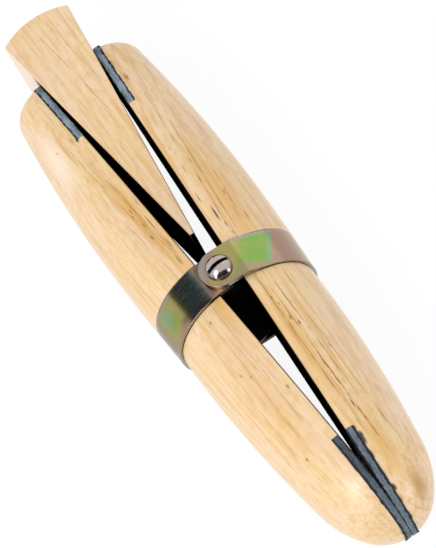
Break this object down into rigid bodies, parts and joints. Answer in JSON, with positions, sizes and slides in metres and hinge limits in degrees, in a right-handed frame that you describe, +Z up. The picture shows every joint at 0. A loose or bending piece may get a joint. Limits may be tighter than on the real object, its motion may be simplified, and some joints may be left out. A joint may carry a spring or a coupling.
{
  "type": "ring clamp",
  "caption": "Wooden hand clamp for holding rings: two half-round jaws with leather-lined ends rock on a strapped pivot and are closed by a wedge.",
  "frame": {"origin": "on the surface the clamp lies on, under the middle of its overall length with the wedge in; the lowest point is the back screw head", "axes": "+X along the clamp towards the nose, +Y towards the jaw whose strap laps outermost, +Z up through the gap towards the front screw"},
  "size_m": [0.1528, 0.0376, 0.0352],
  "materials": {
    "wood": "satin, oiled pale hardwood",
    "leather": "blue-grey, matte",
    "strap_steel": "iridescent yellow chromate on zinc",
    "screw_steel": "bright nickel plate",
    "post_steel": "blackened, oily"
  },
  "bodies": {
    "pivot": {"pivot_post": "post_steel", "front_screw": "screw_steel", "back_screw": "screw_steel"},
    "left_half": {"left_jaw": "wood", "left_nose_pad": "leather", "left_tail_pad": "leather", "left_strap": "strap_steel"},
    "right_half": {"right_jaw": "wood", "right_nose_pad": "leather", "right_tail_pad": "leather", "right_strap": "strap_steel"},
    "wedge_body": {"wedge": "wood"}
  },
  "joints": [
    {"name": "wedge_slide", "type": "slide", "parent": "pivot", "child": "wedge_body", "axis": [-1, 0, 0], "range_m": [0, 0.052]},
    {"name": "right_jaw_rock", "type": "hinge", "parent": "pivot", "child": "right_half", "pos_m": [0.00812, 0, 0.01762], "axis": [0, 0, 1], "range_deg": [0, 4.9]},
    {"name": "left_jaw_rock", "type": "hinge", "parent": "pivot", "child": "left_half", "pos_m": [0.00812, 0, 0.01762], "axis": [0, 0, 1], "range_deg": [-4.9, 0]}
  ],
  "couplings": [
    {"joint": "right_jaw_rock", "follows": "wedge_slide", "rad_per_m": 1.62},
    {"joint": "left_jaw_rock", "follows": "wedge_slide", "rad_per_m": -1.62}
  ]
}
